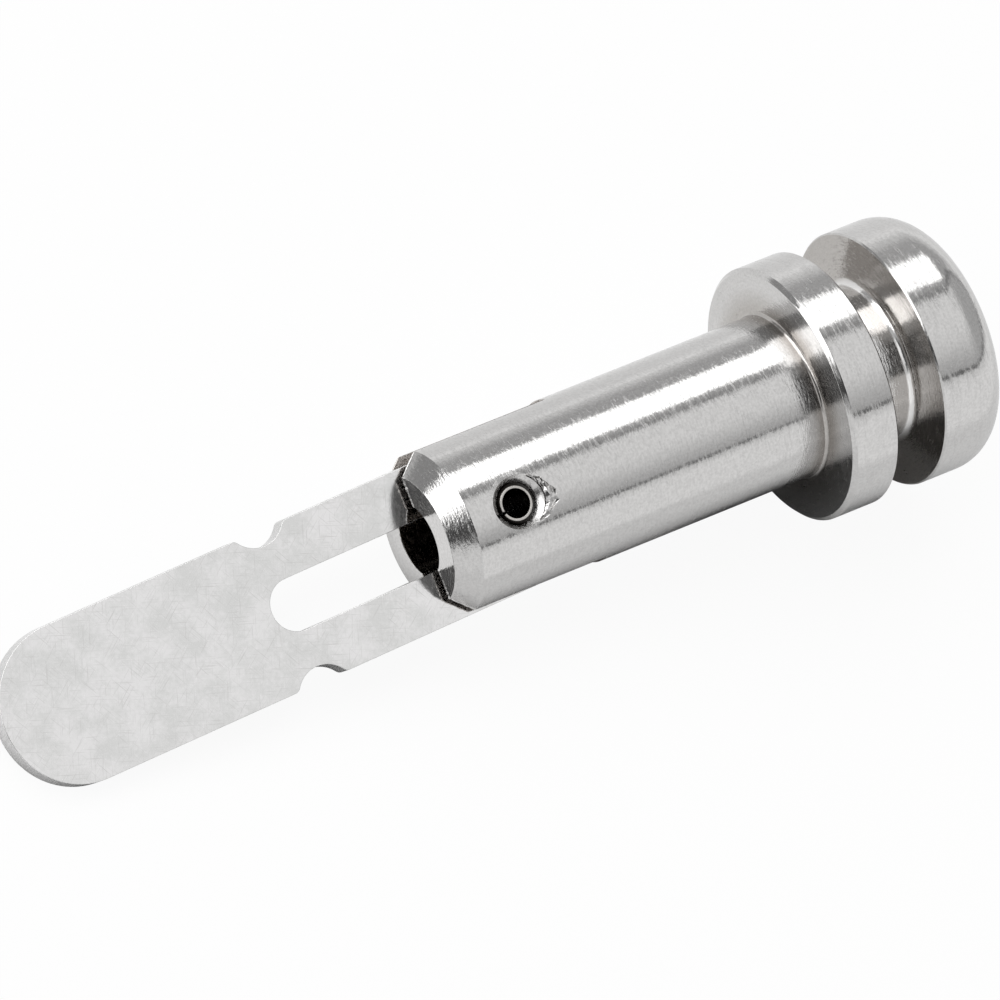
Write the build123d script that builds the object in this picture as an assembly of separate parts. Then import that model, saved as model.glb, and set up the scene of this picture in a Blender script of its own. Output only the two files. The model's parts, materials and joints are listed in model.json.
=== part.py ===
from build123d import *
import os
from math import atan2, cos, degrees, hypot, radians, sin, sqrt, tan

# Drop nose pin: a turned stainless pin whose flat nose blade hangs on a roll pin.
# The blade swings across the pin to lock it, and a sprung ball clicks into its notches.
# The pieces are drawn with the pin's axis along X, from the nose face at x = 0 towards
# the head, and with the roll pin along Z. The whole pin is then laid down as it rests.
# All sizes are in millimetres.

# Turned body
shank_d = 8.0
shank_len = 20.0
nose_face_d = 6.2
nose_chamfer_len = 1.05
flange_d = 12.5
flange_len = 2.5
flange_front_break = 0.2
flange_rear_break = 0.1
neck_d = 7.4
groove_len = 2.6
head_d = 12.5
head_len = 4.9
head_rim_break = 0.08
head_corner_r = 1.9
crown_r = 12.0
shank_corner = 0.15
neck_corner = 0.25
head_neck_fillet_r = 0.4

# Slot for the blade, bore for the detent and cross hole for the roll pin
slot_w = 1.8
slot_floor_gap = 0.17
bore_d = 3.5
drill_point_deg = 118.0
pivot_x = 3.6
countersink_d = 2.6
prong_edge_break = 0.08

# Blade, stamped from strip with both ends fully rounded
blade_len = 30.8
blade_w = 7.5
blade_t = 1.0
blade_edge_break = 0.08
blade_slot_w = 2.5
blade_pivot_to_end = 4.4
notch_r = 1.5
notch_depth = 0.75
notch_corner_r = 0.35

# Roll pin
roll_pin_d = 2.0
roll_pin_wall = 0.36
roll_pin_slit = 0.45
roll_pin_recess = 0.3
roll_pin_chamfer = 0.2
roll_pin_slit_turn = 17.0

# Detent ball and spring
ball_d = 3.2
ball_gap = 0.05
spring_d = 3.0
spring_wire_d = 0.36
spring_wire_sides = 8
spring_len = 5.4
spring_turns = 4.5
spring_end_gap = 0.03

# How the blade sits at rest: it has sagged sideways in its own slot and leans a little
pivot_clearance = 0.05
blade_lean = 2.0

shank_r = shank_d / 2
flange_r = flange_d / 2
flange_x = shank_len
groove_x = flange_x + flange_len
head_x = groove_x + groove_len
body_len = head_x + head_len
pin_r = roll_pin_d / 2
ball_r = ball_d / 2

# The pin lies against one side of the blade's slot, which is wider than it
slot_side_play = (blade_slot_w - roll_pin_d) / 2
blade_sag = slot_side_play - pivot_clearance

# The blade slides along its slot until its middle, and so its notches, is at the roll pin
drop_travel = blade_len / 2 - blade_pivot_to_end

# Furthest that the blade's inner end reaches from the roll pin as it swings
inner_arc_x = blade_pivot_to_end - blade_w / 2
blade_reach = hypot(max(inner_arc_x, 0), blade_sag) + blade_w / 2
slot_depth = pivot_x + blade_reach + slot_floor_gap
ball_x = pivot_x + blade_reach + ball_gap + ball_r

# The spring's front coil sits round the back of the ball, its last coil on the bore's end
coil_r = (spring_d - spring_wire_d) / 2
wire_r = spring_wire_d / 2
spring_x = ball_x + sqrt((ball_r + wire_r) ** 2 - coil_r**2) + spring_end_gap
bore_depth = spring_x + spring_len + wire_r + spring_end_gap


def vertex_at(face, x, y):
    """The corner of a profile that lies at x, y."""
    return face.vertices().sort_by_distance((x, y, 0))[0]


def round_corner(face, x, y, radius):
    return fillet(vertex_at(face, x, y), radius)


def break_corner(face, x, y, length):
    return chamfer(vertex_at(face, x, y), length)


def head_profile():
    """Half section of the head: a short side wall under a domed crown."""
    wall = Pos(head_x + head_len / 2, head_d / 4) * Rectangle(head_len, head_d / 2)
    crown = Pos(body_len - crown_r, 0) * Circle(crown_r)
    face = wall & crown
    rim_x = body_len - crown_r + sqrt(crown_r**2 - (head_d / 2) ** 2)
    face = round_corner(face, rim_x, head_d / 2, head_corner_r)
    return break_corner(face, head_x, head_d / 2, head_rim_break)


def stem_profile():
    """Half section of everything below the head, with the corners as the tool leaves them."""
    face = make_face(
        Polyline(
            (0, 0),
            (0, nose_face_d / 2),
            (nose_chamfer_len, shank_r),
            (flange_x, shank_r),
            (flange_x, flange_r),
            (groove_x, flange_r),
            (groove_x, neck_d / 2),
            (head_x, neck_d / 2),
            (head_x, 0),
            close=True,
        )
    )
    face = break_corner(face, flange_x, shank_r, shank_corner)
    face = break_corner(face, flange_x, flange_r, flange_front_break)
    face = break_corner(face, groove_x, flange_r, flange_rear_break)
    return break_corner(face, groove_x, neck_d / 2, neck_corner)


def turned_blank():
    """Stem and head turned from one bar, with a radius where the neck meets the head."""
    blank = revolve(stem_profile(), Axis.X) + revolve(head_profile(), Axis.X)
    under_head = blank.edges().filter_by(GeomType.CIRCLE).filter_by(
        lambda e: abs(e.radius - neck_d / 2) < 0.01 and abs(e.arc_center.X - head_x) < 0.01
    )
    return fillet(under_head, head_neck_fillet_r)


def blind_bore():
    """Drilled bore for ball and spring, with the drill's point at its end."""
    point_len = bore_d / 2 / tan(radians(drill_point_deg / 2))
    barrel = Pos(bore_depth / 2, 0, 0) * Rot(0, 90, 0) * Cylinder(bore_d / 2, bore_depth)
    point = Pos(bore_depth + point_len / 2, 0, 0) * Rot(0, 90, 0) * Cone(bore_d / 2, 0, point_len)
    return barrel + point


def cross_hole():
    """Hole for the roll pin, countersunk by 90 degrees where it breaks the shank."""
    hole = Cylinder(pin_r, 2 * shank_d)
    depth = (countersink_d - roll_pin_d) / 2
    mouth_z = shank_r - (countersink_d / 2) ** 2 / shank_d
    flare = Pos(0, 0, mouth_z) * Cone(pin_r, pin_r + 2 * depth, 2 * depth)
    return Pos(pivot_x, 0, 0) * (hole + flare + mirror(flare, Plane.XY))


def pin_body():
    slot = Pos(slot_depth / 2, 0, 0) * Box(slot_depth, 2 * shank_d, slot_w)
    body = turned_blank() - slot
    mouth = body.edges().filter_by(
        lambda e: abs(abs(e.center().Z) - slot_w / 2) < 0.001 and e.center().X < nose_chamfer_len
    )
    body = chamfer(mouth, prong_edge_break)
    return body - blind_bore() - cross_hole()


def blade_outline():
    """Blade seen from above, lengthwise along X, with its middle at the origin."""
    plate = SlotOverall(blade_len, blade_w)
    notch_y = blade_w / 2 - notch_depth + notch_r
    plate -= Pos(0, notch_y) * Circle(notch_r) + Pos(0, -notch_y) * Circle(notch_r)
    notch_x = sqrt(notch_r**2 - (notch_r - notch_depth) ** 2)
    corners = plate.vertices().filter_by(lambda v: abs(abs(v.X) - notch_x) < 0.01)
    return fillet(corners, notch_corner_r)


def drop_nose():
    """The blade in place: its inner slot end round the roll pin, sagged and leaning."""
    plate = extrude(blade_outline(), blade_t / 2, both=True)
    rims = plate.edges().filter_by(lambda e: abs(abs(e.center().Z) - blade_t / 2) < 0.001)
    plate = chamfer(rims, blade_edge_break)
    slot = SlotCenterToCenter(drop_travel - slot_side_play, blade_slot_w)
    plate -= Pos((drop_travel + slot_side_play) / 2, 0, 0) * extrude(slot, blade_t, both=True)
    on_pivot = Pos(-drop_travel, -blade_sag, 0) * plate
    return Pos(pivot_x, 0, 0) * Rot(0, 0, blade_lean) * on_pivot


def roll_pin():
    """Rolled tube with one slit along it and both ends chamfered."""
    length = shank_d - 2 * roll_pin_recess
    rod = Cylinder(pin_r, length)
    rod = chamfer(rod.edges().filter_by(GeomType.CIRCLE), roll_pin_chamfer)
    tube = rod - Cylinder(pin_r - roll_pin_wall, 2 * length)
    slit = Pos(-pin_r, 0, 0) * Box(roll_pin_d, roll_pin_slit, 2 * length)
    return Pos(pivot_x, 0, 0) * Rot(0, 0, roll_pin_slit_turn) * (tube - slit)


def detent_ball():
    return Pos(ball_x, 0, 0) * Sphere(ball_r)


def detent_spring():
    """Compression spring, drawn at the length it has behind the ball."""
    path = Helix(spring_len / spring_turns, spring_len, coil_r)
    section = Plane(origin=path @ 0, z_dir=path % 0) * RegularPolygon(wire_r, spring_wire_sides)
    coil = sweep(section, path=path, is_frenet=True)
    return Pos(spring_x, 0, 0) * Rot(0, 90, 0) * coil


# The pin lies on its nose and on the flange's front edge, which tilts its axis
rest_tilt = degrees(
    atan2(flange_r - shank_r, flange_x + flange_front_break - nose_chamfer_len)
)
rest_lift = shank_r * cos(radians(rest_tilt)) - nose_chamfer_len * sin(radians(rest_tilt))


def blade_height(roll):
    """How high the blade's outer end hangs when the pin has rolled by that many degrees."""
    out = blade_len - blade_w / 2 - blade_pivot_to_end
    lean, tilt, turn = radians(blade_lean), radians(rest_tilt), radians(roll)
    end_x = pivot_x - out * cos(lean) + blade_sag * sin(lean)
    end_y = -out * sin(lean) - blade_sag * cos(lean)
    heights = []
    for rim_r, rim_z in (
        (blade_w / 2, blade_edge_break - blade_t / 2),
        (blade_w / 2 - blade_edge_break, -blade_t / 2),
    ):
        middle = end_x * sin(tilt) + cos(tilt) * (end_y * sin(turn) + rim_z * cos(turn))
        heights.append(rest_lift + middle - rim_r * hypot(sin(tilt), cos(tilt) * sin(turn)))
    return min(heights)


def roll_to_rest():
    """The roll, in degrees, at which the blade's lower edge comes down on the surface."""
    clear, sunk = 0.0, 90.0
    for _ in range(60):
        middle = (clear + sunk) / 2
        if blade_height(middle) > 0:
            clear = middle
        else:
            sunk = middle
    return clear


rest_roll = roll_to_rest()

pieces = {
    "pin_body": pin_body(),
    "drop_nose": drop_nose(),
    "roll_pin": roll_pin(),
    "detent_ball": detent_ball(),
    "detent_spring": detent_spring(),
}

turned = Rot(0, -rest_tilt, 0) * Rot(rest_roll, 0, 0)
boxes = [(turned * shape).bounding_box() for shape in pieces.values()]
mid_x = (min(box.min.X for box in boxes) + max(box.max.X for box in boxes)) / 2
laid = Pos(-mid_x, 0, rest_lift) * turned

os.makedirs("parts", exist_ok=True)
for name, shape in pieces.items():
    export_step(laid * shape, f"parts/{name}.step")


def place(label, x, y, z):
    """Print a point of the drawing where it lies once the pin is at rest."""
    point = (laid * Pos(x, y, z)).position
    print(f"{label}: {point.X:.4f} {point.Y:.4f} {point.Z:.4f}")


print(f"rest tilt {rest_tilt:.3f}, rest roll {rest_roll:.3f}")
for label, tip in (("pin axis", (1, 0, 0)), ("roll pin axis", (0, 0, 1))):
    way = (turned * Pos(tip)).position
    print(f"{label}: {way.X:.6f} {way.Y:.6f} {way.Z:.6f}")
print(f"slot depth {slot_depth:.3f}, ball at {ball_x:.3f}, bore depth {bore_depth:.3f}")
place("nose face centre", 0, 0, 0)
place("pivot", pivot_x, 0, 0)
place("shank middle", (nose_chamfer_len + flange_x - shank_corner) / 2, 0, 0)
place("seat point", flange_x, 0, (shank_r + flange_r) / 2)
place("groove middle", groove_x + groove_len / 2, 0, 0)
place("ball centre", ball_x, 0, 0)
place("spring fixed end", spring_x + spring_len, 0, 0)
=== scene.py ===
import json
from functools import partial
from math import atan2, ceil, cos, hypot, pi, radians, sin, sqrt, tan

import bmesh
import bpy
import numpy as np
from bpy.props import (
    FloatProperty, FloatVectorProperty, IntProperty, PointerProperty, StringProperty,
)
from mathutils import Matrix, Vector
from mathutils.geometry import tessellate_polygon


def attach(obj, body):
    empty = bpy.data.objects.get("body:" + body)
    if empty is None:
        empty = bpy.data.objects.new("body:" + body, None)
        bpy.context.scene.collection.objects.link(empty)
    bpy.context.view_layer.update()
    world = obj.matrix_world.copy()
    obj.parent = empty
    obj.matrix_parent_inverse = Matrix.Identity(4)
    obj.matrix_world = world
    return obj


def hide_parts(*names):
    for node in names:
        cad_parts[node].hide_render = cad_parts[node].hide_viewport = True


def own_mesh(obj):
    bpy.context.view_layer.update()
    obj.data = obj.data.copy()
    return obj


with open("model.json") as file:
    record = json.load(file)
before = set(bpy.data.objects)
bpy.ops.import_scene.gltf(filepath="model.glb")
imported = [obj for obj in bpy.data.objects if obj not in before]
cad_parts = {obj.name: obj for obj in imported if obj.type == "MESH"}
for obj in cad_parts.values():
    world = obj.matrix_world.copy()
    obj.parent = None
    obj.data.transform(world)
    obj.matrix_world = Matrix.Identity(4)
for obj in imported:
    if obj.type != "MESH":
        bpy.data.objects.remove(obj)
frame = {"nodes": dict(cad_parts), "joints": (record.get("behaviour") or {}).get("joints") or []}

# Looks of the drop nose pin: its turned body, its blade, its roll pin and its detent, as an
# add-on with one operator for each piece and one for the stage. All places are in metres in
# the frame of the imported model, which lies on its nose, its flange and an edge of its blade.

bl_info = {
    "name": "Drop Nose Pin",
    "version": (1, 0, 0),
    "blender": (4, 5, 0),
    "location": "3D View > Sidebar > Drop Nose Pin",
    "description": "Builds the visible pieces of a drop nose pin round its packed frame",
    "category": "Object",
}

MM = 0.001
PIVOT_FROM_NOSE = 3.6 * MM

# How far past its size a wall still wears its own finish, and the steps round a small hole
HAIR = 0.005 * MM
ROUND_SIDES = 96

# The drawing of the pin has its axis along X from the nose face, and the roll pin along Z.
# The two joints say where that drawing lies.
JOINTS = {joint["name"]: joint for joint in frame["joints"]}
ALONG = Vector(JOINTS["detent_press"]["axis"]).normalized()
UP = Vector(JOINTS["nose_swing"]["axis"]).normalized()
ACROSS = UP.cross(ALONG)
NOSE = Vector(JOINTS["nose_swing"]["pos_m"]) - ALONG * PIVOT_FROM_NOSE
LAID = Matrix.Translation(NOSE) @ Matrix((ALONG, ACROSS, UP)).transposed().to_4x4()


def length(name, millimetres, description):
    return FloatProperty(
        name=name, description=description, default=millimetres * MM, unit="LENGTH", precision=5
    )


def colour(name, hex_value, description):
    return StringProperty(name=name, description=description, default=hex_value)


class TurnedBodySizes(bpy.types.PropertyGroup):
    """Sizes of the turned body."""

    shank_diameter: length("Shank diameter", 8.0, "Plain shank that fills the hole")
    shank_length: length("Shank length", 20.0, "From the nose face to the flange")
    nose_face_diameter: length("Nose face", 6.2, "Flat end inside the nose chamfer")
    nose_chamfer: length("Nose chamfer", 1.05, "Length of the lead-in chamfer along the pin")
    flange_diameter: length("Flange diameter", 12.5, "Stop flange, as wide as the head")
    flange_length: length("Flange length", 2.5, "Flange thickness along the pin")
    flange_front_break: length("Flange front break", 0.2, "Broken front edge of the flange")
    flange_rear_break: length("Flange rear break", 0.1, "Broken rear edge of the flange")
    neck_diameter: length("Neck diameter", 7.4, "Bottom of the ring groove")
    groove_length: length("Groove length", 2.6, "Between flange and head")
    head_length: length("Head length", 4.9, "From the groove to the top of the crown")
    head_rim_break: length("Head rim break", 0.08, "Broken edge on the head's groove side")
    head_corner: length("Head corner", 1.9, "Radius between the side wall and the crown")
    crown_radius: length("Crown radius", 12.0, "Radius of the domed top")
    shank_fillet: length("Shank fillet", 0.18, "Tool radius where the shank meets the flange")
    neck_fillet: length("Neck fillet", 0.4, "Tool radius on both sides of the groove")
    edge_round: length("Edge round", 0.05, "Polished edge of the nose chamfer")
    slot_width: length("Slot width", 1.8, "Sawn slot for the blade")
    slot_depth: length("Slot depth", 8.2, "From the nose face to the slot's floor")
    bore_diameter: length("Bore diameter", 3.5, "Drilled bore for ball and spring")
    bore_depth: length("Bore depth", 16.5, "To the shoulder of the drill point")
    hole_diameter: length("Cross hole", 2.0, "Hole for the roll pin")
    countersink: length("Countersink", 2.54, "Mouth of the cross hole on the shank")
    countersink_shift: length("Countersink shift", 0.16, "How far it sits off towards the head")
    saw_burr: length("Saw burr", 0.045, "Thickness of the burr along the slot's mouth")
    sides: IntProperty(name="Sides", description="Steps round the turned body", default=256, min=32)


class BladeSizes(bpy.types.PropertyGroup):
    """Sizes of the swinging blade."""

    length: length("Length", 30.8, "Over both round ends")
    width: length("Width", 7.5, "Across the strip")
    thickness: length("Thickness", 1.0, "Of the strip")
    edge_round: length("Edge round", 0.03, "Tumbled edge of the stamping")
    slot_width: length("Slot width", 2.5, "Of the long slot")
    pivot_to_end: length("Pivot to end", 4.4, "From the roll pin to the inner end")
    notch_radius: length("Notch radius", 1.5, "Of the two notches at half length")
    notch_depth: length("Notch depth", 0.75, "From the strip's edge")
    notch_corner: length("Notch corner", 0.35, "Rounded corners of the notches")
    pivot_clearance: length("Pivot clearance", 0.05, "Between roll pin and slot when sagged")
    lean: FloatProperty(
        name="Lean", description="How far the blade leans at rest", default=radians(2.0),
        subtype="ANGLE", unit="ROTATION",
    )


class RollPinSizes(bpy.types.PropertyGroup):
    """Sizes of the roll pin."""

    diameter: length("Diameter", 2.0, "Fitted diameter")
    wall: length("Wall", 0.3, "Thickness of the rolled strip")
    slit: length("Slit", 0.2, "Gap that lets the pin spring, nearly closed once fitted")
    recess: length("Recess", 0.3, "How far each end lies under the shank's skin")
    chamfer: length("Chamfer", 0.2, "At both ends")
    edge_round: length("Edge round", 0.02, "On every edge of its ends")
    slit_turn: FloatProperty(
        name="Slit turn", description="Where the slit faces", default=radians(197.0),
        subtype="ANGLE", unit="ROTATION",
    )


class DetentSizes(bpy.types.PropertyGroup):
    """Sizes of the detent spring."""

    coil_diameter: length("Coil diameter", 3.0, "Outside the coil")
    wire_diameter: length("Wire diameter", 0.36, "Of the spring wire")
    turns: FloatProperty(name="Turns", description="Coils of the spring", default=4.5, min=1.0)
    travel: length("Travel", 3.0, "How far the ball can be pressed back")


class Finishes(bpy.types.PropertyGroup):
    """Colours of the metals."""

    turned: colour("Turned stainless", "#D2D1D0", "Polished turned stainless steel")
    turned_dull: colour("Turned stainless, dull rings", "#C6C5C4", "Where the tool left it duller")
    # Painted shade: darkens the inside corner before the flange and the groove's walls
    recess_shade: colour("Stain", "#E1DEDB", "Tints the corners that the polishing cloth didn't reach")
    # Painted light: the neck's bottom is coloured lighter, for the light that it mirrors off the
    # groove's walls
    neck: colour("Neck", "#EDECEB", "Brightest polish, which a ring's wear keeps up")
    sawn: colour("Sawn walls", "#C6C1BD", "Dull walls of the slot")
    # Painted shade: the bore's and the cross hole's walls are coloured dark, for the shade inside
    # them
    drilled_hole_shade: colour("Drilled walls", "#69625B", "Dark walls of the bore and the cross hole")
    strip: colour("Strip", "#E6E5E5", "Tumbled cold rolled stainless strip")
    strip_dull: colour("Strip, dull patches", "#DADAD9", "Where the tumbling left the strip duller")
    strip_marks: colour("Strip, scratches", "#CECDCC", "Short scratches from the tumbling")
    spring: colour("Spring steel", "#C4C1BD", "Bright sheared ends of spring steel")
    spring_skin: colour("Spring steel skin", "#24211F", "Dark skin of hardened spring steel")
    ball: colour("Ball", "#CCCCCC", "Polished bearing steel")


class StudioSizes(bpy.types.PropertyGroup):
    """Camera and light."""

    elevation: FloatProperty(
        name="Elevation", description="How far down the camera looks", default=radians(56.066),
        subtype="ANGLE", unit="ROTATION",
    )
    azimuth: FloatProperty(
        name="Azimuth", description="Looks along +X at 0, turned towards +Y",
        default=radians(19.609), subtype="ANGLE", unit="ROTATION",
    )
    roll: FloatProperty(
        name="Roll", description="Turn of the camera about its own axis", default=radians(46.515),
        subtype="ANGLE", unit="ROTATION",
    )
    distance: length("Distance", 582.16, "From the camera to the point it looks at")
    aim: FloatVectorProperty(
        name="Aim", description="Point that the camera looks at",
        default=(-0.262 * MM, -0.100 * MM, 6.411 * MM), subtype="TRANSLATION", unit="LENGTH",
    )
    lens: FloatProperty(name="Lens", description="Focal length in millimetres", default=456.4)
    floor: colour("Floor", "#E9E9E9", "White paper sweep")
    # Painted shade on the paper, which only mirrored rays see: by the tent's dark corner, and under
    # the pin before the flange
    floor_shade: colour("Floor, shaded", "#9A9A9A", "Where the tent's dark corner shades the paper")
    lamp_length: length("Lamp length", 1200.0, "Of the strip lamp behind the pin")
    lamp_width: length("Lamp width", 500.0, "Of the strip lamp")
    lamp_distance: length("Lamp distance", 600.0, "From the pin to the strip lamp")
    lamp_power: FloatProperty(name="Lamp power", description="Of the lamp in watts", default=6.8)


def linear(hex_value):
    """A hex sRGB colour as linear red, green, blue and alpha."""
    channels = [int(hex_value[i : i + 2], 16) / 255 for i in (1, 3, 5)]
    return [c / 12.92 if c <= 0.04045 else ((c + 0.055) / 1.055) ** 2.4 for c in channels] + [1.0]


def plug(tree, node, values):
    """Set a node's inputs, by name or number, to values or to what other nodes give."""
    for key, value in values.items():
        if isinstance(value, bpy.types.Node):
            value = next(output for output in value.outputs if output.enabled)
        if isinstance(value, bpy.types.NodeSocket):
            tree.links.new(value, node.inputs[key])
        else:
            node.inputs[key].default_value = value


def add_node(tree, kind, values=None, **settings):
    """Add a node with its settings, its values and its links."""
    made = tree.nodes.new(kind)
    for key, value in settings.items():
        setattr(made, key, value)
    plug(tree, made, values or {})
    return made


# Outlines and meshes


def straight(start, end):
    """A straight run of an outline, as two points with the normal on its left."""
    (x0, y0), (x1, y1) = start, end
    size = hypot(x1 - x0, y1 - y0)
    normal = (-(y1 - y0) / size, (x1 - x0) / size)
    return [(start, normal), (end, normal)]


def arc(centre, radius, start, end, step=radians(9)):
    """A round run of an outline about centre, from one angle to another, normals on its left."""
    steps = max(2, ceil(abs(end - start) / step))
    side = -1 if end > start else 1
    run = []
    for k in range(steps + 1):
        angle = start + (end - start) * k / steps
        spoke = (cos(angle), sin(angle))
        point = (centre[0] + radius * spoke[0], centre[1] + radius * spoke[1])
        run.append((point, (side * spoke[0], side * spoke[1])))
    return run


def rounded_path(corners, closed=False):
    """Runs along straight lines between (x, y, radius) corners, with each corner rounded."""
    count = len(corners)
    turns = range(count) if closed else range(1, count - 1)
    starts, ends, arcs = {}, {}, {}
    for k in turns:
        x, y, radius = corners[k]
        before = Vector(corners[k - 1][:2]) - Vector((x, y))
        after = Vector(corners[(k + 1) % count][:2]) - Vector((x, y))
        before.normalize()
        after.normalize()
        half = before.angle(after) / 2
        reach = radius / tan(half)
        first, last = Vector((x, y)) + before * reach, Vector((x, y)) + after * reach
        starts[k], ends[k] = tuple(first), tuple(last)
        if radius > 0:
            centre = Vector((x, y)) + (before + after).normalized() * (radius / sin(half))
            angle = atan2(first.y - centre.y, first.x - centre.x)
            turn = pi - 2 * half
            left = before.x * after.y - before.y * after.x < 0
            arcs[k] = arc(tuple(centre), radius, angle, angle + (turn if left else -turn))
    runs = []
    for k in range(count if closed else count - 1):
        following = (k + 1) % count
        begin = ends.get(k, corners[k][:2])
        finish = starts.get(following, corners[following][:2])
        runs.append(straight(begin, finish))
        if following in arcs:
            runs.append(arcs[following])
    return runs


def new_mesh(name, points, faces):
    """A mesh from points in the drawing of the pin, laid down as the pin rests."""
    mesh = bpy.data.meshes.new(name)
    mesh.from_pydata([LAID @ Vector(p) for p in points], [], faces)
    mesh.validate()
    return mesh


def new_object(name, mesh):
    made = bpy.data.objects.new(name, mesh)
    bpy.context.scene.collection.objects.link(made)
    return made


def lathe(runs, sides, spin, first=0.0, sweep=2 * pi):
    """Points and faces of runs (u, r) turned round an axis. spin(u, r, angle) places a point."""
    outline = [runs[0][0][0]] + [point for run in runs for point, _ in run[1:]]
    whole = sweep >= 2 * pi
    looped = (Vector(outline[0]) - Vector(outline[-1])).length < 1e-9
    if looped:
        outline.pop()
    columns = sides if whole else sides + 1
    points, rings = [], []
    for u, r in outline:
        if r < 1e-9:
            rings.append([len(points)] * columns)
            points.append(spin(u, 0.0, 0.0))
            continue
        rings.append(list(range(len(points), len(points) + columns)))
        points += [spin(u, r, first + sweep * k / sides) for k in range(columns)]
    faces = []
    for low, high in zip(rings, rings[1:] + (rings[:1] if looped else [])):
        for k in range(sides):
            n = (k + 1) % columns if whole else k + 1
            corners = [low[k], low[n], high[n], high[k]]
            faces.append([c for i, c in enumerate(corners) if c != corners[i - 1]])
    if not whole and looped:
        faces.append([ring[0] for ring in rings])
        faces.append([ring[-1] for ring in reversed(rings)])
    return points, faces


def about_pin(u, r, angle):
    """A point at u along the pin and r from its axis, with angle from the roll pin's end."""
    return (u, -r * sin(angle), r * cos(angle))


def about_roll_pin(u, r, angle):
    return (PIVOT_FROM_NOSE + r * cos(angle), r * sin(angle), u)


def cut(target, cutters):
    """Subtract closed meshes from a mesh and return the result as a plain mesh."""
    whole = new_object("blank", target)
    tools = [new_object("cutter", cutter) for cutter in cutters]
    for tool in tools:
        boolean = whole.modifiers.new("cut", "BOOLEAN")
        boolean.operation = "DIFFERENCE"
        boolean.solver = "EXACT"
        boolean.object = tool
    bpy.context.view_layer.update()
    now = whole.evaluated_get(bpy.context.evaluated_depsgraph_get())
    result = bpy.data.meshes.new_from_object(now)
    for made in [whole] + tools:
        bpy.data.objects.remove(made)
    return result


def outward(mesh):
    """Turn every face of a closed mesh outwards."""
    work = bmesh.new()
    work.from_mesh(mesh)
    bmesh.ops.remove_doubles(work, verts=work.verts, dist=1e-8)
    bmesh.ops.recalc_face_normals(work, faces=work.faces)
    work.to_mesh(mesh)
    work.free()


def finish_piece(name, mesh, material, body, slot, *nodes):
    """Show a mesh in place of CAD nodes: it rides on their body and wears the given material. The
    slot argument is not used.
    """
    piece = new_object(name, mesh)
    mesh.materials.clear()
    mesh.materials.append(material)
    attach(piece, body)
    if nodes:
        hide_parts(*nodes)
    return piece


# Turned body


DRILL_POINT = radians(118)

# A face belongs to a turned run where it faces nearly as the run does and lies close to it
FACES_ALIKE = 0.97
TURNED_ASIDE = 0.03
CLOSE = 0.02 * MM

# Past CONE_LEAN along the roll pin a face belongs to the countersink, and past WALL_LEAN to no
# hole. Nor does one that lies past HOLE_REACH, or whose normal misses the hole's axis.
CONE_LEAN = 0.3
WALL_LEAN = 0.9
MISSES_AXIS = 0.02
HOLE_REACH = 2.0 * MM

# The burr's bead has steps, radii and tips that are shares of its thickness
BEAD_SIDES = 8
BEAD_STEP = 2.5
BEAD_RADII = (0.55, 1.2)
BEAD_TIP = 0.3


def body_runs(sizes):
    """Half outline of the body from the drill point, over the nose and flange, to the crown."""
    bore = sizes.bore_diameter / 2
    shank, neck = sizes.shank_diameter / 2, sizes.neck_diameter / 2
    flange = sizes.flange_diameter / 2
    groove = sizes.shank_length + sizes.flange_length
    head = groove + sizes.groove_length
    top = head + sizes.head_length
    point = bore / tan(DRILL_POINT / 2)
    edge = sizes.edge_round
    crown_centre = top - sizes.crown_radius
    corner_r = flange - sizes.head_corner
    corner_x = crown_centre + sqrt((sizes.crown_radius - sizes.head_corner) ** 2 - corner_r**2)
    crown_turn = atan2(corner_r, corner_x - crown_centre)
    front, rear, rim = sizes.flange_front_break, sizes.flange_rear_break, sizes.head_rim_break
    runs = rounded_path(
        [
            (sizes.bore_depth + point, 0.0, 0.0),
            (sizes.bore_depth, bore, 0.0),
            (0.0, bore, edge),
            (0.0, sizes.nose_face_diameter / 2, edge),
            (sizes.nose_chamfer, shank, edge),
            (sizes.shank_length, shank, sizes.shank_fillet),
            (sizes.shank_length, flange - front, edge),
            (sizes.shank_length + front, flange, edge),
            (groove - rear, flange, rear / 4),
            (groove, flange - rear, rear / 4),
            (groove, neck, sizes.neck_fillet),
            (head, neck, sizes.neck_fillet),
            (head, flange - rim, rim / 4),
            (head + rim, flange, rim / 4),
            (corner_x, flange, 0.0),
        ]
    )
    runs.append(arc((corner_x, corner_r), sizes.head_corner, pi / 2, crown_turn, radians(4)))
    runs.append(arc((crown_centre, 0.0), sizes.crown_radius, crown_turn, 0.0, radians(3)))
    return runs


def hole_cutters(sizes):
    """Cross hole, and the two countersinks, which sit a little off its axis."""
    hole, mouth, shank = sizes.hole_diameter / 2, sizes.countersink / 2, sizes.shank_diameter / 2
    deep = shank - mouth**2 / sizes.shank_diameter - mouth
    far = sizes.shank_diameter
    made = []
    for corners, shift in (
        ([(-far, 0.0, 0.0), (-far, hole, 0.0), (far, hole, 0.0), (far, 0.0, 0.0)], 0.0),
        ([(deep, 0.0, 0.0), (far, far - deep, 0.0), (far, 0.0, 0.0)], sizes.countersink_shift),
        ([(-far, 0.0, 0.0), (-far, far - deep, 0.0), (-deep, 0.0, 0.0)], sizes.countersink_shift),
    ):
        points, faces = lathe(rounded_path(corners), ROUND_SIDES, about_roll_pin)
        mesh = new_mesh("hole", [(x + shift, y, z) for x, y, z in points], faces)
        outward(mesh)
        made.append(mesh)
    return made


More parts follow.
